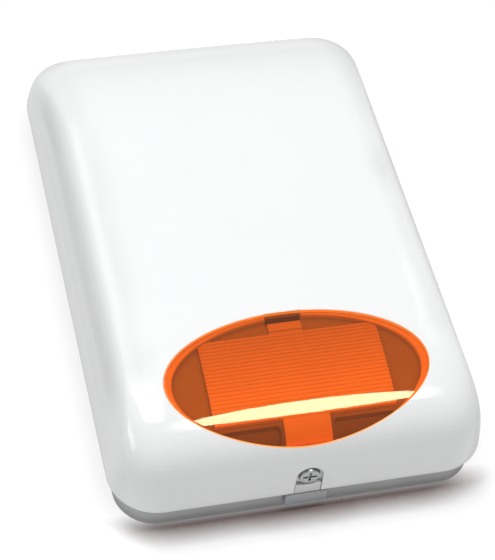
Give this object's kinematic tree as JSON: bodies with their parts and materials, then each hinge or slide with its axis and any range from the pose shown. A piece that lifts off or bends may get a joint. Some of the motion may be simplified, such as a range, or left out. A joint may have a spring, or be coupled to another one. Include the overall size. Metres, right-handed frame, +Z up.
{
  "type": "alarm siren",
  "caption": "Wall-mounted alarm siren: rounded white cover hinged at the top of a grey base, amber oval strobe lens, horn, battery, circuit board and tamper switches inside.",
  "frame": {"origin": "centre of the base's back face, on the wall plane, midway between the four wall fixing holes", "axes": "+Z up the wall, +Y into the wall along the fixing screws, the front of the cover faces -Y, +X to the right as seen from the front"},
  "size_m": [0.165, 0.057, 0.26],
  "materials": {
    "cover_white": "gloss moulded ABS",
    "lens_amber": "clear amber polycarbonate",
    "gasket": "soft clear silicone strip",
    "lug_grey": "moulded",
    "frame_grey": "fine-textured",
    "diffuser": "ribbed white plastic",
    "base_grey": "fine-textured moulded plastic",
    "steel": "zinc plated",
    "rubber": "moulded rubber",
    "white_nylon": "satin",
    "brass": "turned",
    "pcb": "green solder mask",
    "terminal_green": "satin",
    "relay_blue": "gloss",
    "capacitor": "shrink sleeve",
    "coil": "enamelled copper under varnish",
    "black_plastic": "satin",
    "header_white": "satin",
    "cell_green": "shrink sleeve",
    "lead_red": "pvc",
    "lead_black": "pvc",
    "lead_orange": "pvc",
    "led": "silicone over ceramic",
    "plunger_red": "satin"
  },
  "bodies": {
    "base": {"back_plate": "base_grey", "hinge_pins": "steel", "cable_grommet": "rubber", "screw_lug": "lug_grey", "threaded_insert": "brass", "main_pcb": "pcb", "pcb_screws": "steel", "terminal_block": "terminal_green", "terminal_screws": "steel", "relay": "relay_blue", "capacitors": "capacitor", "driver_coil": "coil", "pcb_chips": "black_plastic", "pcb_headers": "header_white", "lead_plugs": "header_white", "battery_cells": "cell_green", "battery_strap": "steel", "strap_screws": "steel", "battery_lead_red": "lead_red", "battery_lead_black": "lead_black", "horn_bell": "black_plastic", "horn_plug": "black_plastic", "driver_case": "black_plastic", "piezo_disc": "brass", "horn_screws": "steel", "horn_leads": "lead_red", "strobe_tray": "white_nylon", "strobe_pcb": "pcb", "strobe_leds": "led", "strobe_screws": "steel", "strobe_leads": "lead_orange", "tamper_bracket": "base_grey", "tamper_switch": "black_plastic", "wall_tamper_guide": "black_plastic", "wall_tamper_spring": "steel"},
    "cover": {"outer_cover": "cover_white", "lens": "lens_amber", "lens_gasket": "gasket", "strobe_diffuser": "diffuser", "diffuser_frame": "frame_grey"},
    "lever": {"tamper_lever": "steel"},
    "button": {"tamper_button": "plunger_red"},
    "plunger": {"wall_tamper_plunger": "plunger_red"},
    "washer": {"screw_washer": "white_nylon"},
    "screw": {"cover_screw": "steel"}
  },
  "joints": [
    {"name": "cover_hinge", "type": "hinge", "parent": "base", "child": "cover", "pos_m": [0, -0.008, 0.1175], "axis": [-1, 0, 0], "range_deg": [0, 45]},
    {"name": "screw_travel", "type": "slide", "parent": "base", "child": "washer", "axis": [0, 0, -1], "range_m": [0, 0.0084]},
    {"name": "screw_turn", "type": "hinge", "parent": "washer", "child": "screw", "pos_m": [0, -0.0245, -0.1287], "axis": [0, 0, -1], "range_deg": [0, 4321]},
    {"name": "lever_hinge", "type": "hinge", "parent": "base", "child": "lever", "pos_m": [0.058, -0.034, 0.0268], "axis": [-1, 0, 0], "range_deg": [0, 12]},
    {"name": "button_travel", "type": "slide", "parent": "base", "child": "button", "axis": [0, -1, 0], "range_m": [0, 0.001]},
    {"name": "plunger_travel", "type": "slide", "parent": "base", "child": "plunger", "axis": [0, 1, 0], "range_m": [0, 0.003]}
  ],
  "couplings": [
    {"joint": "screw_turn", "follows": "screw_travel", "rad_per_m": 8976},
    {"joint": "lever_hinge", "follows": "cover_hinge", "ratio": 0.26667},
    {"joint": "button_travel", "follows": "cover_hinge", "m_per_rad": 0.0012731}
  ]
}
